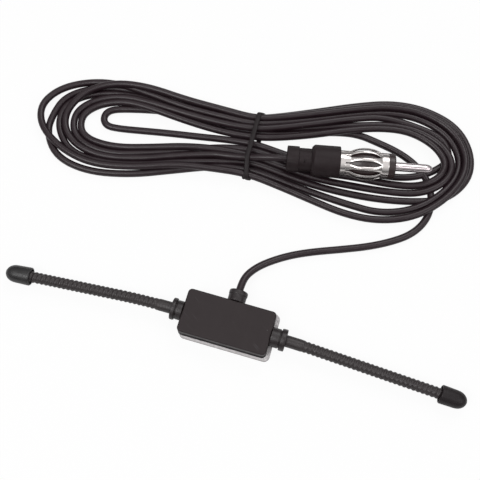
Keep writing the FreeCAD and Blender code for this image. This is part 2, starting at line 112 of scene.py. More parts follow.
def moulded_skin_group():
    """Skin of moulded plastic or rubber: cloudy colour, fine grain and patchy gloss."""
    tree, given, result = shader_group(
        "moulded skin",
        {"Color": (0.05, 0.05, 0.05, 1), "Cloud Color": (0.06, 0.06, 0.06, 1), "Cloud Scale": 300.0,
         "Grain Scale": 9000.0, "Gloss Low": 0.4, "Gloss High": 0.55},
        {"Color": "NodeSocketColor", "Roughness": "NodeSocketFloat", "Height": "NodeSocketFloat"},
    )
    coordinates = object_place(tree)
    cloud = noise(tree, coordinates, given.outputs["Cloud Scale"], 4.0)
    grain = noise(tree, coordinates, given.outputs["Grain Scale"], 2.0)
    share = remap(tree, cloud, 0.35, 0.65)
    tree.links.new(blend_colors(tree, share, given.outputs["Color"], given.outputs["Cloud Color"]),
                   result.inputs["Color"])
    gloss = remap(tree, cloud, 0.3, 0.7, given.outputs["Gloss Low"], given.outputs["Gloss High"])
    tree.links.new(gloss, result.inputs["Roughness"])
    tree.links.new(grain, result.inputs["Height"])
    return tree


def drawn_lines_group():
    """Fine lines along one direction in the plane of the glass, as drawing, rubbing or handling leaves them."""
    tree, given, result = shader_group(
        "drawn lines",
        {"Angle": 0.0, "Along Scale": 60.0, "Across Scale": 3000.0},
        {"Lines": "NodeSocketFloat"},
    )
    turn = tree.nodes.new("ShaderNodeVectorRotate")
    turn.rotation_type = "Z_AXIS"
    tree.links.new(object_place(tree), turn.inputs["Vector"])
    tree.links.new(given.outputs["Angle"], turn.inputs["Angle"])
    scales = tree.nodes.new("ShaderNodeCombineXYZ")
    for axis, label in (("X", "Along Scale"), ("Y", "Across Scale"), ("Z", "Across Scale")):
        tree.links.new(given.outputs[label], scales.inputs[axis])
    stretch = tree.nodes.new("ShaderNodeVectorMath")
    stretch.operation = "MULTIPLY"
    tree.links.new(turn.outputs["Vector"], stretch.inputs[0])
    tree.links.new(scales.outputs["Vector"], stretch.inputs[1])
    tree.links.new(noise(tree, stretch.outputs["Vector"], 1.0, 3.0), result.inputs["Lines"])
    return tree


def specks_group():
    """Lone specks of dust and tiny nicks, and on the whip sleeves painted glints as well: 1 on a speck, 0 elsewhere."""
    tree, given, result = shader_group(
        "dust and glint specks", {"Scale": 500.0, "Size": 0.09, "Share": 0.25}, {"Specks": "NodeSocketFloat"})
    cells = tree.nodes.new("ShaderNodeTexVoronoi")
    tree.links.new(object_place(tree), cells.inputs["Vector"])
    tree.links.new(given.outputs["Scale"], cells.inputs["Scale"])
    spot = remap(tree, cells.outputs["Distance"], given.outputs["Size"], 0.0)
    pick = tree.nodes.new("ShaderNodeSeparateColor")
    tree.links.new(cells.outputs["Color"], pick.inputs["Color"])
    chosen = math_node(tree, "LESS_THAN", pick.outputs["Red"], given.outputs["Share"])
    tree.links.new(product(tree, spot, chosen), result.inputs["Specks"])
    return tree


moulded_skin = moulded_skin_group()
drawn_lines = drawn_lines_group()
dust_and_glint_specks = specks_group()


def placed_group(tree, group, **values):
    """Node that uses a group with its own plain values."""
    node = tree.nodes.new("ShaderNodeGroup")
    node.node_tree = group
    for label, value in values.items():
        node.inputs[label.replace("_", " ")].default_value = (*value, 1) if isinstance(value, tuple) else value
    return node


def new_material(name):
    material = bpy.data.materials.new(name)
    material.use_nodes = True
    tree = material.node_tree
    return material, tree, tree.nodes["Principled BSDF"]


def bump(tree, shader, height, strength, distance):
    node = tree.nodes.new("ShaderNodeBump")
    node.inputs["Strength"].default_value = strength
    node.inputs["Distance"].default_value = distance
    tree.links.new(height, node.inputs["Height"])
    tree.links.new(node.outputs["Normal"], shader.inputs["Normal"])


def moulded_material(name, color, cloud_color, cloud, grain, gloss, depth, specular=0.5, dust_and_glints=None,
                     dust_and_glint_color=(0.20, 0.19, 0.19)):
    """Finish of a moulded piece: cloud and grain are scales, depth is the grain's, in metres, gloss is a range
    of roughness, and the specks are given by their scale, size and share: dust, and on the whip sleeves painted glints
    too."""
    material, tree, shader = new_material(name)
    skin = placed_group(tree, moulded_skin, Color=color, Cloud_Color=cloud_color, Cloud_Scale=cloud,
                        Grain_Scale=grain, Gloss_Low=gloss[0], Gloss_High=gloss[1])
    surface = skin.outputs["Color"]
    if dust_and_glints:
        specks = placed_group(tree, dust_and_glint_specks, Scale=dust_and_glints[0], Size=dust_and_glints[1], Share=dust_and_glints[2]).outputs["Specks"]
        surface = blend_colors(tree, specks, surface, dust_and_glint_color)
    tree.links.new(surface, shader.inputs["Base Color"])
    tree.links.new(skin.outputs["Roughness"], shader.inputs["Roughness"])
    bump(tree, shader, skin.outputs["Height"], strength=0.35, distance=depth)
    shader.inputs["Specular IOR Level"].default_value = specular
    return material


def coat(material, share, color):
    """Lay a plain colour over a finish where the share is 1."""
    tree = material.node_tree
    surface = tree.nodes["Principled BSDF"].inputs["Base Color"]
    tree.links.new(blend_colors(tree, share, surface.links[0].from_socket, color), surface)


def rubbed_finish(material, angle, along_scale, across_scale, color):
    """Add faint rubbed lines, in patches, to the colour of a moulded finish."""
    tree = material.node_tree
    lines = placed_group(tree, drawn_lines, Angle=math.radians(angle), Along_Scale=along_scale,
                         Across_Scale=across_scale).outputs["Lines"]
    patches = noise(tree, object_place(tree), scale=170.0, detail=1.0)
    coat(material, product(tree, remap(tree, lines, 0.60, 0.72), remap(tree, patches, 0.52, 0.66)), color)


def paint(node, material):
    """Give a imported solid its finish."""
    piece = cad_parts[node]
    for place in piece.material_slots:
        place.material = material
    if not piece.material_slots:
        piece.data.materials.append(material)


def painted_edge_highlight(material, color, low, high, right_edge, front_edge):
    """Painted highlight: a light line, in patches, between two heights on the walls past the right and front edges, in
    metres.
    """
    tree = material.node_tree
    place = object_place(tree)
    split = tree.nodes.new("ShaderNodeSeparateXYZ")
    tree.links.new(place, split.inputs["Vector"])
    height = split.outputs["Z"]
    band = product(tree, remap(tree, height, low - 0.0001, low), remap(tree, height, high + 0.0002, high))
    past_right = math_node(tree, "SUBTRACT", split.outputs["X"], right_edge)
    past_front = math_node(tree, "SUBTRACT", product(tree, split.outputs["Y"], -1.0), front_edge)
    wall = remap(tree, math_node(tree, "MAXIMUM", past_right, past_front), 0.0, 0.0001)
    patches = remap(tree, noise(tree, place, scale=240.0, detail=2.0), 0.2, 0.6, 0.5, 1.0)
    coat(material, product(tree, product(tree, band, wall), patches), color)


housing_finish = moulded_material(
    "satin housing plastic", (0.0195, 0.0134, 0.0144), (0.0225, 0.0162, 0.0172), cloud=260.0, grain=5200.0,
    gloss=(0.46, 0.56), depth=0.00006, specular=0.25, dust_and_glints=(330.0, 0.06, 0.10))
rubbed_finish(housing_finish, angle=35, along_scale=120.0, across_scale=1900.0, color=(0.045, 0.040, 0.042))
# Painted highlight: a light line along the lid's front and right walls, standing in for the highlight of the rounded
# top edge.
painted_edge_highlight(housing_finish, (0.10, 0.095, 0.097), low=0.00395, high=0.0042, right_edge=0.0133, front_edge=0.0064)
paint("housing_lid", housing_finish)
# Painted shade: the tray is the lid's plastic with its colour made several times darker, so the walls below the lid
# look shaded.
shaded_tray_finish = moulded_material(
    "shaded housing plastic", (0.0045, 0.0034, 0.0038), (0.0060, 0.0048, 0.0052), cloud=260.0, grain=5200.0,
    gloss=(0.62, 0.75), depth=0.00006, specular=0.12)
paint("housing_base", shaded_tray_finish)


# Foam tape: closed-cell foam, die cut a little larger than the tray, with a slightly uneven edge.
# It sticks the housing to the glass, and a thin release film covers its glue.
mm = 0.001


def in_scene(name, data):
    piece = bpy.data.objects.new(name, data)
    bpy.context.scene.collection.objects.link(piece)
    return piece


def mesh_piece(build, name, material, sharp=40):
    """Finish a bmesh as a piece on the root body, smooth except at its sharp edges."""
    bmesh.ops.recalc_face_normals(build, faces=build.faces)
    data = bpy.data.meshes.new(name)
    build.to_mesh(data)
    build.free()
    data.materials.append(material)
    data.shade_smooth()
    data.set_sharp_from_angle(angle=math.radians(sharp))
    piece = in_scene(name, data)
    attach(piece, "root")
    return piece


def skin_of_rings(rings, looped=False):
    """Bmesh whose skin joins rings of points, in millimetres; looped joins the last ring to the first."""
    build = bmesh.new()
    grid = [[build.verts.new(spot) for spot in ring] for ring in np.asarray(rings, float) * mm]
    for near, far in zip(grid, grid[1:] + (grid[:1] if looped else [])):
        for k in range(len(near)):
            after = (k + 1) % len(near)
            build.faces.new((near[k], near[after], far[after], far[k]))
    if not looped:
        build.faces.new(grid[0])
        build.faces.new(grid[-1])
    bmesh.ops.remove_doubles(build, verts=build.verts, dist=1e-8)
    return build


def plate_outline(length, width, radius, corner_steps=9, side_steps=26):
    """Rounded rectangle round the origin, counter-clockwise, with points along its sides."""
    spots = []
    for quarter in range(4):
        sign_x = (1, -1, -1, 1)[quarter]
        sign_y = (1, 1, -1, -1)[quarter]
        middle = np.array([sign_x * (length / 2 - radius), sign_y * (width / 2 - radius)])
        for step in range(corner_steps + 1):
            angle = math.pi / 2 * (quarter + step / corner_steps)
            spots.append(middle + radius * np.array([math.cos(angle), math.sin(angle)]))
        run = np.array([-sign_x * (length - 2 * radius), 0]) if quarter % 2 == 0 else np.array(
            [0, -sign_y * (width - 2 * radius)])
        corner_end = spots[-1]
        spots += [corner_end + run * step / side_steps for step in range(1, side_steps)]
    return np.array(spots)


foam_length = 28.1
foam_width = 14.9
foam_corner = 1.7
foam_shift = 0.85
foam_waver = 0.05
foam_ripple = 0.012
# Height and inset of the cut edge, from the film up
foam_levels = [(0.2, 0.10), (0.27, 0.03), (0.45, 0.0), (0.7, 0.05), (0.9, 0.02), (1.03, 0.03), (1.1, 0.11)]
foam_rng = np.random.default_rng(11)
foam_rings = []
foam_cut = plate_outline(foam_length, foam_width, foam_corner)
waver = foam_rng.normal(0, 1, len(foam_cut))
for _ in range(3):
    waver = (np.roll(waver, 1) + waver + np.roll(waver, -1)) / 3
for height, inset in foam_levels:
    ripple = foam_rng.normal(0, foam_ripple, len(foam_cut))
    reach = np.linalg.norm(foam_cut, axis=1)
    kept = (reach - inset - foam_waver + foam_waver * waver + ripple) / reach
    ring = foam_cut * kept[:, None]
    foam_rings.append(np.column_stack([ring[:, 0] + foam_shift, ring[:, 1], np.full(len(ring), height)]))
foam_finish = moulded_material(
    "foam", (0.70, 0.67, 0.675), (0.58, 0.555, 0.56), cloud=1400.0, grain=5200.0, gloss=(0.75, 0.9),
    depth=0.0003, specular=0.3)
foam_pad = mesh_piece(skin_of_rings(foam_rings), "foam_tape", foam_finish, 60)
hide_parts("adhesive_pad")
film_margin = 0.1
film_top = 0.16
film_finish = moulded_material(
    "release film", (0.30, 0.28, 0.285), (0.24, 0.22, 0.225), cloud=200.0, grain=3000.0, gloss=(0.35, 0.5),
    depth=0.00002)
film_cut = plate_outline(foam_length + film_margin, foam_width + film_margin, foam_corner) + np.array([foam_shift, 0.0])
film_rings = [np.column_stack([film_cut, np.full(len(film_cut), height)]) for height in (0.0, film_top)]
film = mesh_piece(skin_of_rings(film_rings), "peel_film", film_finish, 30)
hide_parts("release_film")


# Collars and gland: moulded rubber bushes that hold the whips and the cable in the housing wall.
# Each has a flange inside, a neck, a groove and an outer flange with a trace of moulding flash.
def eased_outline(corners, steps=4):
    """Corners (distance, radius, rounding) of a turned outline, with the rounding worked in."""
    spots = [np.array(corner[:2], float) for corner in corners]
    eased = []
    for k, corner in enumerate(corners):
        if len(corner) < 3:
            eased.append(spots[k])
            continue
        before, here, after = spots[k - 1], spots[k], spots[(k + 1) % len(spots)]
        ends = []
        for other in (before, after):
            run = np.linalg.norm(other - here)
            ends.append(here + (other - here) / run * min(corner[2], 0.48 * run))
        for share in np.linspace(0, 1, steps + 1):
            eased.append((1 - share) ** 2 * ends[0] + 2 * share * (1 - share) * here + share ** 2 * ends[1])
    return eased


def ring_round(spot, heading, angles, radii):
    """Points round a spot, square to a heading; angles count from its level side upward."""
    side = np.cross(heading, (0, 0, 1))
    side /= np.linalg.norm(side)
    upward = np.cross(side, heading)
    return spot + (np.outer(np.cos(angles), side) + np.outer(np.sin(angles), upward)) * radii[:, None]


def turned_rings(outline, start, heading, around=72, shape=None):
    """Rings of a turned piece; shape(distance, radius, angles) may change the radius round a ring."""
    heading = np.array(heading, float) / np.linalg.norm(heading)
    angles = np.arange(around) * 2 * math.pi / around
    rings = []
    for distance, radius in outline:
        radii = np.full(around, float(radius)) if shape is None else shape(distance, radius, angles)
        rings.append(ring_round(np.array(start) + heading * distance, heading, angles, radii))
    return rings


housing_length = 27.5
housing_width = 13.6
axis_height = 4.05
sleeve_radius = 1.75
cable_diameter = 2.3
collar_end = 3.7
collar_drop = 0.3
collar_groove = 0.3
inner_flange_start = -2.0
inner_flange_end = -1.0
inner_flange_radius = 1.4
wall_hole_radius = 1.1
wall_gap = 0.02
hold_gap = 0.05
flash_spread = 0.16
flash_height = 0.05
flash_waver = 0.07


def bush_corners(bore, held, neck, groove, flange, edge, seat_depth):
    """Outline of a bush from its inner flange out; distance 0 is the outer face of the housing wall.
    Neck, groove and flange are each a step in radius and a length, and held is the radius of what sits in it."""
    outer = held + neck[0]
    rim = outer + flange[0]
    groove_end = neck[1] + groove[1]
    end = groove_end + flange[1]
    return [
        (inner_flange_start, bore), (inner_flange_start, inner_flange_radius, 0.3),
        (inner_flange_end, inner_flange_radius), (inner_flange_end, wall_hole_radius), (wall_gap, wall_hole_radius),
        (wall_gap, outer, 0.12), (neck[1], outer, 0.18), (neck[1], outer - groove[0], 0.1),
        (groove_end, outer - groove[0], 0.1), (groove_end, rim, edge), (end, rim, edge),
        (end, held + hold_gap, 0.15), (end - seat_depth, held + hold_gap), (end - seat_depth, bore),
    ]


def flashed(rim_distance, rim_radius, seed):
    """Radius changer that leaves a thin uneven seam of flash round the rim of a flange."""
    waves = np.random.default_rng(seed).uniform(0, 2 * math.pi, 6)

    def shape(distance, radius, angles):
        near = math.exp(-((distance - rim_distance) / flash_spread) ** 2) if radius > rim_radius - 0.25 else 0.0
        uneven = sum(np.cos((3 + 4 * k) * angles + wave) for k, wave in enumerate(waves)) / len(waves)
        return radius + near * (flash_height + flash_waver * uneven)
    return shape


collar_finish = moulded_material(
    "collar rubber", (0.0122, 0.0080, 0.0088), (0.0162, 0.0118, 0.0126), cloud=500.0, grain=6000.0, gloss=(0.34, 0.46),
    depth=0.00005, specular=0.45, dust_and_glints=(600.0, 0.08, 0.10))
for name, side, neck_length, rim_length, seed in (("left", -1, 1.8, 1.35, 3), ("right", 1, 2.6, 1.75, 5)):
    rim_end = neck_length + collar_groove + rim_length
    collar_outline = eased_outline(
        bush_corners(bore=0.85, held=sleeve_radius, neck=(1.2, neck_length), groove=(0.22, collar_groove),
                     flange=(0.4, rim_length), edge=0.5, seat_depth=1.6))
    rings = turned_rings(collar_outline, (side * housing_length / 2, -collar_drop, axis_height), (side, 0, 0),
                         shape=flashed(rim_distance=rim_end - 0.12, rim_radius=3.35, seed=seed))
    collar = mesh_piece(skin_of_rings(rings, True), name + "_collar_bush", collar_finish)
    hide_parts(name + "_collar")
gland_offset = 0.8
gland_outline = eased_outline(
    bush_corners(bore=1.0, held=cable_diameter / 2, neck=(1.6, 1.8), groove=(0.04, 0.3), flange=(0.12, 1.5), edge=0.55,
                 seat_depth=2.5))
gland_rings = turned_rings(gland_outline, (gland_offset, housing_width / 2, axis_height), (0, 1, 0),
                           shape=flashed(rim_distance=2.9, rim_radius=2.87, seed=7))
gland = mesh_piece(skin_of_rings(gland_rings, True), "gland_bush", collar_finish)
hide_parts("cable_gland")


# Whips: spring wire in a rubber sleeve with one ridge wound along it from collar to cap.
# Each whip bends from the collar down to the glass and a little forward, then runs straight.
cap_radius = 2.8
cap_length = 8.0
cap_end_wall = 2.6
floor_gap = 0.05
ridge_pitch = 1.4
ridge_depth = 0.24
ridge_fade = 1.6
rings_per_pitch = 10
sleeve_start = -2.3
root_swell = 0.05
covered_length = 6.6
# The sleeve's light specks are partly dust and partly painted glints on the ridged rubber.
sleeve_finish = moulded_material(
    "sleeve rubber", (0.0205, 0.0155, 0.0165), (0.0265, 0.0210, 0.0215), cloud=260.0, grain=5000.0, gloss=(0.40, 0.52),
    depth=0.00006, specular=0.45, dust_and_glints=(520.0, 0.10, 0.16), dust_and_glint_color=(0.26, 0.25, 0.25))
wire_finish = moulded_material(
    "spring wire", (0.50, 0.50, 0.51), (0.56, 0.56, 0.57), cloud=700.0, grain=5000.0, gloss=(0.3, 0.4),
    depth=0.00002)


def whip_line(side, reach, straight, sweep):
    """Function from distance past the collar to point and heading, and the whip's length.
    Reach counts from the middle of the housing, straight is the end without a bend, sweep how far the tip
    lies to the front."""
    start = np.array([side * (housing_length / 2 + collar_end), -collar_drop, axis_height])
    along = np.array([side, 0.0, 0.0])
    aside = np.array([0, collar_drop - sweep, cap_radius + floor_gap - axis_height])
    deflection = np.linalg.norm(aside)
    aside = aside / deflection
    run = reach - housing_length / 2 - collar_end
    turn = 2 * math.atan(deflection / (run + straight))
    radius = (run - straight) / math.sin(turn)
    bend_path = radius * turn

    def at(distance):
        angle = min(max(distance, 0.0), bend_path) / radius
        heading = along * math.cos(angle) + aside * math.sin(angle)
        spot = start + along * radius * math.sin(angle) + aside * radius * (1 - math.cos(angle))
        return spot + heading * (max(distance - bend_path, 0.0) + min(distance, 0.0)), heading

    return at, bend_path + straight / math.cos(turn)


def sleeve_rings(at, smooth, length, around=28):
    """Rings of a sleeve whose wound ridge fades in after a smooth root and out inside the cap."""
    rings = []
    angles = np.arange(around) * 2 * math.pi / around
    for distance in np.arange(sleeve_start, length - cap_end_wall, ridge_pitch / rings_per_pitch):
        fade = min(max((distance - smooth) / ridge_fade, 0), 1) * min(max(length - covered_length - distance, 0), 1)
        wave = np.cos(2 * math.pi * (distance - smooth) / ridge_pitch - angles)
        ridged = sleeve_radius - ridge_depth * (1 - (0.5 + 0.5 * wave) ** 0.8)
        radii = (1 - fade) * (sleeve_radius + root_swell) + fade * ridged
        rings.append(ring_round(*at(distance), angles, radii))
    return rings


# Line, length and smooth root of each whip
whip_lines = {
    "left": (*whip_line(side=-1, reach=69.5, straight=36.0, sweep=3.4), 3.4),
    "right": (*whip_line(side=1, reach=73.7, straight=48.0, sweep=2.9), 5.6),
}
for name, (at, length, smooth) in whip_lines.items():
    sleeve = mesh_piece(skin_of_rings(sleeve_rings(at, smooth, length)), name + "_ridged_sleeve", sleeve_finish)
    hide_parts(name + "_whip_sleeve")
    paint(name + "_whip_core", wire_finish)


# Tip caps: soft rubber caps pushed over the ends of the sleeves, slightly narrower towards the tip.
# Each has a bevelled rim and an open mouth that shows a dark gap round the sleeve.
cap_bore = sleeve_radius + 0.04
cap_corners = [
    (0.0, 2.30, 0.08), (0.0, 2.62, 0.08), (0.26, cap_radius, 0.1), (4.6, 2.70), (5.45, 2.62), (6.2, 2.40),
    (6.85, 2.05), (7.4, 1.55), (7.78, 0.95), (7.95, 0.45), (cap_length, 0.0), (cap_length - cap_end_wall, 0.0),
    (cap_length - cap_end_wall, cap_bore), (0.9, cap_bore, 0.2), (0.7, 2.18, 0.2),
]
cap_finishes = {
    "left": moulded_material(
        "cap rubber", (0.0105, 0.0092, 0.0097), (0.0145, 0.0132, 0.0137), cloud=420.0, grain=5000.0,
        gloss=(0.34, 0.46), depth=0.00005, specular=0.45, dust_and_glints=(700.0, 0.08, 0.08)),
    # Painted shade: the right cap is the same rubber as the left, given a darker colour so that it looks shaded.
    "right": moulded_material(
        "shaded cap rubber", (0.0075, 0.0044, 0.0054), (0.0105, 0.0072, 0.0082), cloud=420.0, grain=5000.0,
        gloss=(0.40, 0.52), depth=0.00005, specular=0.28, dust_and_glints=(700.0, 0.08, 0.08)),
}
for name, (at, length, smooth) in whip_lines.items():
    rings = turned_rings(eased_outline(cap_corners), *at(length - cap_length), around=64)
    cap = mesh_piece(skin_of_rings(rings, True), name + "_soft_cap", cap_finishes[name], 32)
    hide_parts(name + "_tip_cap")


# Inside the housing: a terminal board with the soldered ends of the whips and the cable.
# The board rests on ledges of the tray, and the stripped core and braid are bare copper.
board_finish = moulded_material(
    "laminated board", (0.16, 0.12, 0.05), (0.20, 0.15, 0.07), cloud=900.0, grain=7000.0, gloss=(0.5, 0.6),
    depth=0.00004)
copper_finish = moulded_material(
    "bare copper", (0.72, 0.38, 0.22), (0.62, 0.30, 0.17), cloud=900.0, grain=7000.0, gloss=(0.3, 0.45),
    depth=0.00003)
solder_finish = moulded_material(
    "satin solder", (0.62, 0.62, 0.63), (0.52, 0.52, 0.53), cloud=900.0, grain=7000.0, gloss=(0.3, 0.45),
    depth=0.00005)
for node, finish in (("terminal_board", board_finish), ("coax_core", copper_finish), ("coax_braid", copper_finish),
                     ("solder_joints", solder_finish)):
    paint(node, finish)


# Radio plug: a strain relief and a grip moulded in black plastic, a nickel-plated shell that is slit into
# ten bowed leaves, a black insulator, and a nickel-plated pin rolled from sheet with a seam along it.
plug_rear = np.array([3.2, 55.15])
plug_height = 7.55
plug_heading = 11.65
plug_angle = math.radians(plug_heading)
plug_axis = np.array([math.cos(plug_angle), math.sin(plug_angle), 0.0])
plug_start = np.array([*plug_rear, plug_height])
ring_end = 3.8
neck_end = 7.75
grip_end = 16.65
leaf_start = 19.85
leaf_end = 29.55
shell_end = 31.7
insulator_end = 33.85
plug_end = 45.85
ring_radius = 4.1
neck_radius = 3.65
grip_radius = 5.0
shell_root = 14.05
plug_finish = moulded_material(
    "plug plastic", (0.0125, 0.0068, 0.0080), (0.0160, 0.0098, 0.0112), cloud=420.0, grain=5200.0, gloss=(0.46, 0.58),
    depth=0.00006, specular=0.22, dust_and_glints=(500.0, 0.07, 0.06))
rubbed_finish(plug_finish, angle=-plug_heading, along_scale=90.0, across_scale=1500.0, color=(0.030, 0.028, 0.029))
insulator_finish = moulded_material(
    "insulator plastic", (0.019, 0.0090, 0.0095), (0.024, 0.0130, 0.0135), cloud=420.0, grain=5200.0, gloss=(0.3, 0.4),
    depth=0.00003)


def nickel_material(name, bright, dull, gloss):
    """Nickel plate over drawn brass: streaks along the plug in colour and gloss, and a few dull clouds."""
    material, tree, shader = new_material(name)
    lines = placed_group(tree, drawn_lines, Angle=-plug_angle, Along_Scale=70.0, Across_Scale=2600.0).outputs["Lines"]
    clouds = remap(tree, noise(tree, object_place(tree), scale=420.0, detail=3.0), 0.45, 0.7)
    streaks = remap(tree, lines, 0.35, 0.65)
    color = blend_colors(tree, product(tree, clouds, streaks), bright, dull)
    tree.links.new(color, shader.inputs["Base Color"])
    tree.links.new(remap(tree, lines, 0.3, 0.7, *gloss), shader.inputs["Roughness"])
    bump(tree, shader, lines, strength=0.25, distance=0.00001)
    shader.inputs["Metallic"].default_value = 1.0
    return material


def plug_rings(corners, around, shape=None):
    """Rings of a piece turned round the axis of the plug."""
    return turned_rings(eased_outline(corners), plug_start, plug_axis, around, shape)


cable_bore = 1.25
cable_seat = 4.0
relief_root = 2.9
relief_root_end = 11.8
dimple_start = 5.22
dimple_end = 5.8
dimple_half = 0.45
dimple_depth = 0.45
dimple_side = math.sin(math.radians(30))
dimple_top = math.cos(math.radians(30))
relief_corners = [
    (0, cable_bore, 0.1), (0, ring_radius, 0.35), (ring_end, ring_radius, 0.25), (ring_end, neck_radius, 0.08),
    (5.0, neck_radius), (dimple_start, neck_radius), (dimple_end, neck_radius), (6.02, neck_radius),
    (neck_end, neck_radius), (neck_end, relief_root), (relief_root_end, relief_root), (relief_root_end, 0.0),
    (cable_seat, 0.0), (cable_seat, cable_bore),
]
relief = skin_of_rings(plug_rings(relief_corners, 96), True)
dimple = []
for face in relief.faces:
    spot = np.array(face.calc_center_median()) / mm - plug_start
    along = spot @ plug_axis
    across = spot[1] * plug_axis[0] - spot[0] * plug_axis[1]
    upright = spot[2] * dimple_top - across * dimple_side
    sideways = across * dimple_top + spot[2] * dimple_side
    if dimple_start < along < dimple_end and upright > 3 and abs(sideways) < dimple_half:
        dimple.append(face)
bmesh.ops.inset_region(relief, faces=dimple, thickness=0.06 * mm, depth=0.0)
dimple_floor = list({corner for face in dimple for corner in face.verts})
inward = Vector((-plug_axis[1] * dimple_side, plug_axis[0] * dimple_side, -dimple_top)) * dimple_depth * mm
bmesh.ops.translate(relief, verts=dimple_floor, vec=inward)
relief_piece = mesh_piece(relief, "plug_rear_sleeve", plug_finish)
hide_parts("plug_strain_relief")

grip_bore = 2.95
grip_shoulder = 4.2
shell_bore = 3.65
grip_corners = [
    (neck_end, grip_bore), (neck_end, grip_shoulder, 0.1), (neck_end + 0.8, grip_radius, 0.25),
    (grip_end, grip_radius, 0.3), (grip_end, shell_bore, 0.1), (shell_root, shell_bore), (shell_root, grip_bore),
]
grip = mesh_piece(skin_of_rings(plug_rings(grip_corners, 96), True), "plug_body", plug_finish)
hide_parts("plug_grip")

leaf_count = 10
leaf_columns = 10
slot_roll = math.radians(12.4)
slit_half = 0.2
slot_half = 0.95
slot_start = 19.0
slot_end = 29.5
slit_start = slot_start - 0.7
leaf_crown = 0.24
leaf_bow = 1.2
shell_rear_radius = 3.85
shell_front_radius = 3.95
shell_wall = 0.45
nickel_finish = nickel_material("bright nickel", (0.66, 0.625, 0.61), (0.42, 0.385, 0.375), (0.12, 0.22))


def shell_radius(distance):
    """Outer radius of the shell: a plain ring at each end and the bow of the leaves between."""
    if distance <= leaf_start:
        return shell_rear_radius
    if distance >= leaf_end:
        return shell_front_radius
    share = (distance - leaf_start) / (leaf_end - leaf_start)
    plain = shell_rear_radius + (shell_front_radius - shell_rear_radius) * share
    return plain + leaf_bow * (1 - abs(2 * share - 1) ** 2.1)


def leaf_half_angle(distance):
    """Half of a leaf's angle, less half of the slit or the slot beside it, and how far the slot is open."""
    open_half = 0.0
    if slit_start < distance < slot_end:
        share = min(max((distance - slot_start) / (slot_end - slot_start), 0), 1)
        open_half = slot_half * (1 - abs(2 * share - 1) ** 2.8)
        if share < 0.5:
            open_half = max(open_half, slit_half)
    return math.pi / leaf_count - open_half / shell_radius(distance), open_half / slot_half


shell_rows = [shell_root, 15.6, 16.8, 17.6, slit_start - 0.01, slit_start + 0.01, slot_start - 0.3]
shell_rows += list(np.linspace(slot_start, slot_end, 43)) + [leaf_end, 30.0, 30.8, 31.4, shell_end]
shell = bmesh.new()
shell_side = np.array([plug_axis[1], -plug_axis[0], 0.0])
for leaf in range(leaf_count):
    middle = math.pi / 2 + slot_roll + (leaf + 0.5) * 2 * math.pi / leaf_count
    grid = []
    for distance in shell_rows:
        half, open_share = leaf_half_angle(distance)
        across = np.linspace(-1, 1, leaf_columns + 1)
        angles = middle + half * across
        spread = np.outer(np.cos(angles), shell_side) + np.outer(np.sin(angles), (0, 0, 1))
        radii = shell_radius(distance) - leaf_crown * open_share * across ** 2
        spots = plug_start + plug_axis * distance + spread * radii[:, None]
        grid.append([shell.verts.new(spot) for spot in spots * mm])
    for near, far in zip(grid, grid[1:]):
        for k in range(leaf_columns):
            shell.faces.new((near[k], near[k + 1], far[k + 1], far[k]))
bmesh.ops.remove_doubles(shell, verts=shell.verts, dist=2e-6)
shell_piece = mesh_piece(shell, "leafed_shell", nickel_finish, 50)
wall = shell_piece.modifiers.new("wall", "SOLIDIFY")
wall.thickness = shell_wall * mm
wall.offset = -1.0
rim = shell_piece.modifiers.new("rim", "BEVEL")
rim.width = 0.07 * mm
rim.segments = 2
rim.limit_method = "ANGLE"
rim.angle_limit = math.radians(50)
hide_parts("plug_shell")

insulator_bore = 1.05
insulator_core = 3.1
insulator_belly = 4.1
insulator_rim = 3.97
insulator_corners = [
    (shell_root, insulator_bore), (shell_root, insulator_core), (leaf_start, insulator_core), (leaf_start + 1.2, 3.5),
    (leaf_start + 3.0, insulator_belly), (leaf_end - 3.0, insulator_belly), (leaf_end - 1.2, 3.5), (leaf_end, 3.2),
    (shell_end, 3.2), (shell_end, insulator_rim, 0.12), (insulator_end - 0.35, insulator_rim, 0.12),
    (insulator_end, 3.6, 0.15), (insulator_end, 1.45, 0.1), (insulator_end - 0.2, 1.45),
    (insulator_end - 0.2, insulator_bore),
]
insulator = mesh_piece(skin_of_rings(plug_rings(insulator_corners, 80), True), "insulator_ring", insulator_finish,
                       30)
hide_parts("plug_insulator")

pin_root = 24.0
pin_core = 1.0
pin_radius = 1.4
seam_end = 44.2
seam_angle = 1.25
seam_width = 0.09
seam_depth = 0.16
pin_corners = [
    (pin_root, 0.0), (pin_root, pin_core), (insulator_end, pin_core), (insulator_end, pin_radius, 0.05),
    (36.0, pin_radius), (40.0, pin_radius), (43.7, pin_radius, 0.1), (44.5, 1.27), (45.1, 1.02), (45.5, 0.70),
    (45.77, 0.36), (plug_end, 0.0),
]


def seamed(distance, radius, angles):
    """Radius of the rolled pin: a narrow seam runs along its top, and its wall is not quite round."""
    if not insulator_end + 0.1 < distance < seam_end:
        return np.full(len(angles), float(radius))
    seam = np.exp(-(np.angle(np.exp(1j * (angles - seam_angle))) / seam_width) ** 2)
    return radius - seam_depth * seam + 0.012 * np.cos(5 * angles)


pin_finish = nickel_material("pin nickel", (0.62, 0.565, 0.58), (0.42, 0.37, 0.385), (0.12, 0.24))
pin = mesh_piece(skin_of_rings(plug_rings(pin_corners, 96, seamed)), "contact_pin", pin_finish, 35)
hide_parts("plug_pin")


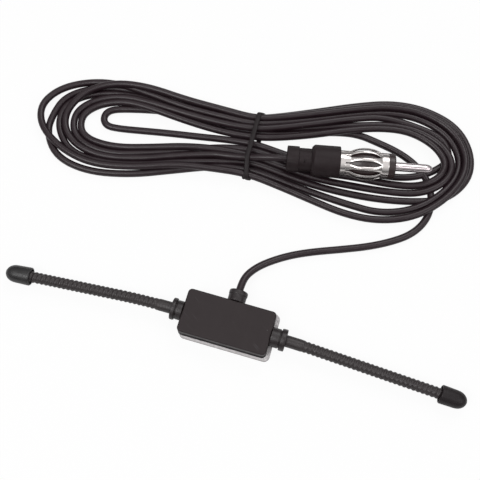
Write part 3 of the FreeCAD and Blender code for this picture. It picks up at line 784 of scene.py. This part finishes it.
# Coaxial cable: stranded core and braid in a black vinyl jacket, soldered in the housing, wound by hand
# into a flat hank and ending in the plug. Each later turn lies on the ones before it.
floor_line = 1.2
tie_lift = 0.75
tie_spread = 5.5
layer_share = 1.05
tie_middle = np.array([-9.1, 58.7])
tie_lean = math.radians(3.8)
lead_raised = [
    (0.8, 10.4, 4.05), (0.8, 13.2, 4.0), (1.6, 16.4, 3.5), (4.2, 20.1, 2.7), (8.4, 23.8, 1.8), (13.4, 27.1, 1.25),
]
lead_on_floor = [
    (19.6, 30.0), (27.3, 33.0), (35.0, 36.2), (41.4, 39.7), (46.6, 43.5), (49.9, 48.2), (51.1, 53.4), (50.3, 58.8),
    (47.6, 63.8), (43.0, 67.6), (37.0, 70.2), (29.6, 71.7), (22.4, 72.8),
]
lead_route = lead_raised + [(x, y, floor_line) for x, y in lead_on_floor]
first_run = [(14.0, 71.0), (5.0, 67.6), (-4.0, 64.8), (-13.0, 63.4), (-22.0, 63.1), (-30.5, 63.4)]
early_turn = [
    (-38.5, 63.3), (-45.0, 62.1), (-51.8, 60.4), (-56.6, 58.9), (-58.6, 57.0), (-58.6, 54.4), (-56.6, 52.5),
    (-51.9, 52.9), (-45.0, 54.2), (-36.5, 55.8), (-26.5, 57.4), (-16.5, 59.1), (-8.0, 59.7),
]
under_plug = [
    (1.5, 59.1), (11.0, 58.6), (20.0, 59.2), (27.5, 60.0), (34.1, 60.9), (39.6, 61.7), (45.0, 63.8), (49.4, 67.0),
    (52.4, 70.6), (52.8, 74.4), (50.3, 77.9), (46.0, 80.1),
]
tail_route = [
    (-17.6, 52.4, 3.0), (-13.0, 52.8, 3.8), (-8.6, 53.2, 5.1), (-4.3, 53.75, 6.75), (-0.13, 54.46, 7.55),
    (3.2, 55.15, 7.55),
]
# Places round the hank, counter-clockwise from the upper right: inner edge and outer edge of the turns
places = [
    ((20, 71.8), (20, 83.7)), ((8, 66.4), (8, 77.9)), ((-3, 62.3), (-4, 72.2)), ((-10, 60.7), (-11, 69.4)),
    ((-20, 59.8), (-22, 69.2)), ((-32, 60.3), (-35, 68.6)), ((-44, 61.5), (-48, 69.2)), ((-53, 61.8), (-60, 68.6)),
    ((-60.2, 59), (-70.5, 65.2)), ((-64.3, 54.8), (-77.4, 59.7)), ((-64.5, 51), (-80.2, 52.5)),
    ((-62.7, 47.5), (-77.4, 44.8)), ((-58, 46.1), (-69.8, 37.1)), ((-50, 46.5), (-58.2, 34.7)),
    ((-40, 49.5), (-44, 37.5)), ((-30, 53.3), (-31, 42.4)), ((-20, 56.7), (-19, 45.6)), ((-9, 58.7), (-8, 47.8)),
    ((4, 57.8), (3, 46.5)), ((14, 57.4), (13, 45)), ((25, 58.8), (25, 43.2)), ((36, 59.3), (36, 43.9)),
    ((45, 60.6), (46.8, 48.2)), ((50.3, 64.2), (55.6, 56.2)), ((51.7, 68), (61.3, 66.4)),
    ((50.5, 71.4), (60.7, 76.3)), ((45.9, 75), (53.9, 85.2)), ((38.2, 76.9), (42.2, 88.6)),
    ((29.5, 75.4), (31, 87.8)),
]
# Lane of each turn, 0 inside to 1 outside, at some of those places; -1 is the last place of the round before
turn_lanes = [
    {-1: 0.45, 0: 0.42, 3: 0.3, 6: 0.2, 9: 0.18, 11: 0.15, 13: 0.17, 14: 0.09, 15: 0.1, 17: 0, 19: 0.03, 20: 0, 27: 0},
    {-1: 0, 14: 0, 15: 0.04, 17: 0.25, 19: 0.25, 20: 0.23, 21: 0.19, 22: 0.2, 26: 0.18, 27: 0.2},
    {-1: 0.22, 0: 0.25, 3: 0.5, 5: 0.5, 7: 0.55, 9: 0.62, 10: 0.57, 11: 0.57, 12: 0.62, 13: 0.57, 15: 0.58, 16: 0.6,
     17: 0.5, 19: 0.49, 20: 0.46, 21: 0.42, 22: 0.46, 23: 0.85, 24: 1, 27: 1},
    {-1: 1, 3: 1, 5: 0.85, 7: 0.7, 9: 0.69, 10: 0.67, 11: 0.88, 12: 1, 14: 1, 15: 0.95, 16: 0.77, 17: 0.75, 20: 0.72,
     21: 0.79, 22: 0.75, 24: 0.6, 26: 0.6, 27: 0.62},
    {-1: 0.62, 3: 0.6, 5: 0.7, 6: 0.85, 7: 1, 9: 1.05, 10: 1.05, 11: 0.98, 12: 0.76, 13: 0.76, 15: 0.78, 16: 0.92,
     17: 1, 22: 1, 24: 0.8, 26: 0.8, 27: 0.83},
    {-1: 0.82, 0: 0.8, 3: 0.8, 5: 0.95, 6: 1, 7: 0.85, 8: 0.6, 9: 0.42, 10: 0.39, 12: 0.35, 14: 0.39, 16: 0.36},
]


def tie_offset(points):
    """Distance of points from the upright plane of the tie, along the hank."""
    x, y = points[..., 0] - tie_middle[0], points[..., 1] - tie_middle[1]
    return x * math.cos(tie_lean) + y * math.sin(tie_lean)


def ground_height(points):
    """Lowest height of the cable's axis: on the floor, or on the tie where that passes under the hank."""
    return floor_line + tie_lift * np.exp(-(tie_offset(points) / tie_spread) ** 2)


def turn_points():
    """Points of the loose turns, each in its lane, stacked high in the order of winding."""
    points = []
    for layer, lanes in enumerate(turn_lanes, start=1):
        known = sorted(lanes)
        for place in range(known[0], known[-1] + 1):
            lane = np.interp(place, known, [lanes[key] for key in known])
            inner, outer = (np.array(edge, float) for edge in places[place % len(places)])
            width = np.linalg.norm(outer - inner)
            spot = inner + (outer - inner) / width * (cable_diameter / 2 + lane * (width - cable_diameter))
            points.append((*spot, floor_line + layer * layer_share * cable_diameter))
    return points


# Outline of the plug for the turns beneath it: distance from its rear end, radius
plug_outline = (
    [0, ring_end, ring_end + 0.1, neck_end - 0.1, neck_end, grip_end, grip_end + 0.1, insulator_end,
     insulator_end + 0.1, plug_end],
    [ring_radius, ring_radius, neck_radius, neck_radius, grip_radius, grip_radius, 5.1, 3.9, pin_radius, pin_radius],
)
# Settling: shares and millimetres moved per step, and which pairs of spots are watched
settle_steps = 260
spots_per_point = 4
pull_home = 0.06
sink = 0.05
evening = 0.2
plug_push = 0.8
follow = 1.3
pair_range = 3
pair_refresh = 20
strand_neighbours = 11


def settle(points, first, last):
    """Let the turns from first to last sink on the floor and on each other without running into each other."""
    home = points.copy()
    free = slice(first, last)
    steps = (np.arange(spots_per_point) + 0.5) / spots_per_point
    shares = np.stack([0.5 * (1 - steps) ** 2, 0.5 + steps * (1 - steps), 0.5 * steps ** 2], 1)[None, :, :, None]
    along = plug_axis[:2]
    across = np.array([-along[1], along[0]])
    load = np.zeros(len(points))
    for k in range(3):
        load[k:len(points) - 2 + k] += shares[0, :, k, 0].sum()
    for step in range(settle_steps):
        points[free, :2] += pull_home * (home[free, :2] - points[free, :2])
        points[free, 2] -= sink
        drift = points - home
        drift[:, 2] = points[:, 2]
        eased = drift.copy()
        eased[1:-1] += evening * (drift[:-2] + drift[2:] - 2 * drift[1:-1])
        points[free, :2] = (home + eased)[free, :2]
        points[free, 2] = eased[free, 2]
        triples = np.stack([points[:-2], points[1:-1], points[2:]], 1)[:, None]
        spots = (shares * triples).sum(2).reshape(-1, 3)
        if step % pair_refresh == 0:
            spread = np.linalg.norm(spots[:, None] - spots[None], axis=2)
            one, two = np.nonzero(np.triu(spread < pair_range * cable_diameter, strand_neighbours))
        gap = spots[one] - spots[two]
        distance = np.linalg.norm(gap, axis=1) + 1e-9
        near = distance < cable_diameter
        push = gap[near] / distance[near, None] * (0.5 * (cable_diameter - distance[near]))[:, None]
        shift = np.zeros_like(spots)
        count = np.ones(len(spots))
        for side, sign in ((one[near], 1), (two[near], -1)):
            np.add.at(shift, side, sign * push)
            np.add.at(count, side, 1)
        shift /= np.sqrt(np.maximum(count - 1, 1))[:, None]
        reach = (spots[:, :2] - plug_rear) @ along
        side = (spots[:, :2] - plug_rear) @ across
        room = np.interp(reach, *plug_outline) + cable_diameter / 2
        inside = (reach > 0) & (reach < plug_outline[0][-1]) & (np.hypot(side, spots[:, 2] - plug_height) < room)
        under = plug_height - np.sqrt(np.maximum(room ** 2 - side ** 2, 0))
        shift[inside, 2] += plug_push * (np.minimum(under, spots[:, 2]) - spots[:, 2])[inside]
        shift[:, 2] = np.maximum(shift[:, 2], ground_height(spots) - spots[:, 2])
        shared = np.zeros_like(points)
        parts = (shares * shift.reshape(-1, spots_per_point, 1, 3)).sum(1)
        for k in range(3):
            shared[k:len(points) - 2 + k] += parts[:, k]
        points[free] += follow * (shared / load[:, None])[free]
    return points


head = np.array(lead_route + [(x, y, floor_line) for x, y in first_run + early_turn + under_plug])
head[len(lead_route):, 2] = ground_height(head[len(lead_route):])
loose = np.array(turn_points())
route = settle(np.vstack([head, loose, np.array(tail_route)]), len(head), len(head) + len(loose))

cable_curve = bpy.data.curves.new("coaxial_cable", "CURVE")
cable_curve.dimensions = "3D"
cable_curve.resolution_u = 6
spline = cable_curve.splines.new("NURBS")
spline.points.add(len(route) - 1)
for control, spot in zip(spline.points, route):
    control.co = (*(spot * mm), 1)
spline.order_u = 3
spline.use_endpoint_u = True
cable = in_scene("coaxial_cable", cable_curve)
cable_line = bpy.data.meshes.new_from_object(cable)
strand_spots = np.array([corner.co for corner in cable_line.vertices]) / mm
bpy.data.meshes.remove(cable_line)
cable_curve.bevel_depth = cable_diameter / 2 * mm
cable_curve.bevel_resolution = 6
cable_curve.use_fill_caps = True
jacket_finish = moulded_material(
    "vinyl jacket", (0.0160, 0.0082, 0.0110), (0.0205, 0.0122, 0.0152), cloud=220.0, grain=2600.0, gloss=(0.29, 0.39),
    depth=0.00006, specular=0.34, dust_and_glints=(420.0, 0.07, 0.10))
cable_curve.materials.append(jacket_finish)
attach(cable, "root")
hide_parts("cable_lead", "cable_tail", "cable_hank")


# Hank tie: a flat flexible plastic tie, drawn tight round the waist of the hank and twisted together below it.
# It leans a little, runs over the top of the turns and back under them further along, and ends in two nubs.
tie_width = 1.55
tie_thickness = 0.7
tie_gap = 0.02
tie_reach = 16
tie_spots = 180
tie_top_shift = -0.35
tie_bottom_shift = 1.8
tie_along = np.array([-math.sin(tie_lean), math.cos(tie_lean)])
tie_normal = np.array([math.cos(tie_lean), math.sin(tie_lean)])


def outer_hull(spots):
    """Corners of the convex outline round flat spots, counter-clockwise."""
    order = sorted(map(tuple, spots))
    halves = []
    for run in (order, order[::-1]):
        chain = []
        for spot in run:
            while len(chain) > 1 and np.cross(np.subtract(chain[-1], chain[-2]), np.subtract(spot, chain[-1])) <= 0:
                chain.pop()
            chain.append(spot)
        halves += chain[:-1]
    return np.array(halves)


def tie_centre_line():
    """Closed line of the tie's middle, drawn tight round the strands where they cross its plane."""
    offset = tie_offset(strand_spots)
    crossing = np.nonzero(offset[:-1] * offset[1:] < 0)[0]
    rims = []
    angles = np.arange(32) * math.pi / 16
    room = cable_diameter / 2 + tie_thickness / 2 + tie_gap
    for k in crossing:
        share = offset[k] / (offset[k] - offset[k + 1])
        spot = strand_spots[k] + share * (strand_spots[k + 1] - strand_spots[k])
        if abs(spot[1] - tie_middle[1]) > tie_reach:
            continue
        across = (spot[:2] - tie_middle) @ tie_along
        rims += [(across + room * math.cos(a), spot[2] + room * math.sin(a)) for a in angles]
    hull = outer_hull(rims)
    hull[:, 1] = np.maximum(hull[:, 1], tie_thickness / 2 + floor_gap)
    closed = np.vstack([hull, hull[:1]])
    travel = np.concatenate([[0], np.cumsum(np.linalg.norm(np.diff(closed, axis=0), axis=1))])
    even = np.linspace(0, travel[-1], tie_spots + 1)[:-1]
    flat = np.column_stack([np.interp(even, travel, closed[:, k]) for k in range(2)])
    for _ in range(4):
        flat = (np.roll(flat, 1, 0) + 2 * flat + np.roll(flat, -1, 0)) / 4
    top = flat[:, 1].max()
    shift = tie_bottom_shift + (tie_top_shift - tie_bottom_shift) * np.clip(flat[:, 1] / top, 0, 1)
    ground = tie_middle + flat[:, :1] * tie_along + shift[:, None] * tie_normal
    return np.column_stack([ground, flat[:, 1]])


def band_rings(line, width, thickness, around=16):
    """Rings of a flat band with rounded edges along a closed line."""
    forward = np.roll(line, -1, 0) - np.roll(line, 1, 0)
    forward /= np.linalg.norm(forward, axis=1)[:, None]
    across = np.array([*tie_normal, 0.0])
    rings = []
    for spot, heading in zip(line, forward):
        outward = np.cross(heading, across)
        outward /= np.linalg.norm(outward)
        flatwise = np.cross(outward, heading)
        ring = []
        for k in range(around):
            angle = 2 * math.pi * k / around
            wide = math.copysign(abs(math.cos(angle)) ** 0.5, math.cos(angle))
            thick = math.copysign(abs(math.sin(angle)) ** 0.6, math.sin(angle))
            ring.append(spot + flatwise * wide * width / 2 + outward * thick * thickness / 2)
        rings.append(ring)
    return rings


tie_finish = moulded_material(
    "tie plastic", (0.0105, 0.0070, 0.0080), (0.0140, 0.0102, 0.0112), cloud=500.0, grain=5000.0, gloss=(0.48, 0.60),
    depth=0.00004, specular=0.22)
tie_line = tie_centre_line()
tie = mesh_piece(skin_of_rings(band_rings(tie_line, tie_width, tie_thickness), True), "tie_band", tie_finish)
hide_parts("hank_tie")
nub_corners = [(0, 0), (0, 0.55), (1.3, 0.62), (1.75, 0.55), (2.0, 0.36), (2.1, 0)]
nub_shifts = (0.1, -1.15)
nub_depth = 1.6
nub_rise = 0.5
nub_dip = -0.35
front_edge = tie_line[np.argmin((tie_line[:, :2] - tie_middle) @ tie_along)]
for k, shift in enumerate(nub_shifts, start=1):
    root = front_edge + np.array([*(tie_normal * shift + tie_along * nub_depth), nub_rise])
    rings = turned_rings(nub_corners, root, (-tie_along[0], -tie_along[1], nub_dip), 20)
    mesh_piece(skin_of_rings(rings), "tie_nub_" + str(k), tie_finish)


# Floor, light and camera: a white sweep under soft lamps, seen from the photograph's side.
# The sky over the sweep is white overhead and darker at the horizon, as a light tent with open sides is.
def light_path_share(tree):
    """1 where the camera, a mirror or glass looks, 0 where light falls."""
    path = tree.nodes.new("ShaderNodeLightPath")
    seen = math_node(tree, "MAXIMUM", path.outputs["Is Camera Ray"], path.outputs["Is Glossy Ray"])
    return math_node(tree, "MAXIMUM", seen, path.outputs["Is Transmission Ray"])


def mixed_surface(tree, share, first, second, output):
    """Mix two shaders and link the result to a new output node."""
    mix = tree.nodes.new("ShaderNodeMixShader")
    for socket, value in zip(mix.inputs, (share, first, second)):
        tree.links.new(value, socket)
    tree.links.new(mix.outputs["Shader"], tree.nodes.new(output).inputs["Surface"])


floor_half = 2.0
floor_mesh = bpy.data.meshes.new("floor")
floor_mesh.from_pydata([(x * floor_half, y * floor_half, 0) for x, y in ((-1, -1), (1, -1), (1, 1), (-1, 1))], [],
                       [(0, 1, 2, 3)])
floor = in_scene("floor", floor_mesh)
floor.location.z = -0.0001
floor_material = bpy.data.materials.new("white floor")
floor_material.use_nodes = True
floor_tree = floor_material.node_tree
floor_tree.nodes.clear()
matte = floor_tree.nodes.new("ShaderNodeBsdfDiffuse")
matte.inputs["Color"].default_value = (0.9, 0.9, 0.9, 1)
glow = floor_tree.nodes.new("ShaderNodeEmission")
glow.inputs["Color"].default_value = (1, 1, 1, 1)
floor_tree.links.new(light_path_share(floor_tree), glow.inputs["Strength"])
floor_seen = floor_tree.nodes.new("ShaderNodeLightPath").outputs["Is Camera Ray"]
mixed_surface(floor_tree, remap(floor_tree, floor_seen, 0.0, 1.0, 0.3, 0.92), matte.outputs["BSDF"],
              glow.outputs["Emission"], "ShaderNodeOutputMaterial")
floor_mesh.materials.append(floor_material)

world = bpy.data.worlds.new("studio")
bpy.context.scene.world = world
world.use_nodes = True
sky_tree = world.node_tree
sky_tree.nodes.clear()
fill = sky_tree.nodes.new("ShaderNodeBackground")
fill.inputs["Color"].default_value = (1, 1, 1, 1)
fill.inputs["Strength"].default_value = 0.42
seen = sky_tree.nodes.new("ShaderNodeBackground")
seen.inputs["Color"].default_value = (1, 1, 1, 1)
sky_place = sky_tree.nodes.new("ShaderNodeSeparateXYZ")
sky_tree.links.new(sky_tree.nodes.new("ShaderNodeTexCoord").outputs["Generated"], sky_place.inputs["Vector"])
overhead = remap(sky_tree, sky_place.outputs["Z"], 0.2, 0.9, 0.15, 1.0)
sky_seen = sky_tree.nodes.new("ShaderNodeLightPath").outputs["Is Camera Ray"]
sky_tree.links.new(math_node(sky_tree, "MAXIMUM", overhead, sky_seen), seen.inputs["Strength"])
mixed_surface(sky_tree, light_path_share(sky_tree), fill.outputs["Background"], seen.outputs["Background"],
              "ShaderNodeOutputWorld")

view_target = Vector((-3.706, 26.513, 3.0)) * mm


def aim(name, data, azimuth, elevation, distance):
    """Place a lamp or camera that looks at the object; azimuth counts from the front, counter-clockwise."""
    holder = in_scene(name, data)
    a = math.radians(azimuth)
    e = math.radians(elevation)
    outward = Vector((math.sin(a) * math.cos(e), -math.cos(a) * math.cos(e), math.sin(e)))
    holder.location = view_target + outward * distance
    holder.rotation_euler = outward.to_track_quat("Z", "Y").to_euler()
    return holder


def soft_lamp(name, azimuth, elevation, distance, size, power):
    lamp = bpy.data.lights.new(name, "AREA")
    lamp.size = size
    lamp.energy = power
    aim(name, lamp, azimuth, elevation, distance)


soft_lamp("key", azimuth=-40, elevation=58, distance=0.6, size=0.3, power=1.5)
soft_lamp("rear", azimuth=170, elevation=50, distance=0.7, size=0.35, power=1.2)
soft_lamp("fill", azimuth=75, elevation=42, distance=0.7, size=0.35, power=0.8)

camera_data = bpy.data.cameras.new("camera")
camera_data.sensor_width = 36.0
camera_data.lens = 62.9
camera_data.clip_start = 0.01
bpy.context.scene.camera = aim("camera", camera_data, azimuth=16.35, elevation=71.4, distance=0.26)
bpy.context.scene.view_settings.view_transform = "Standard"
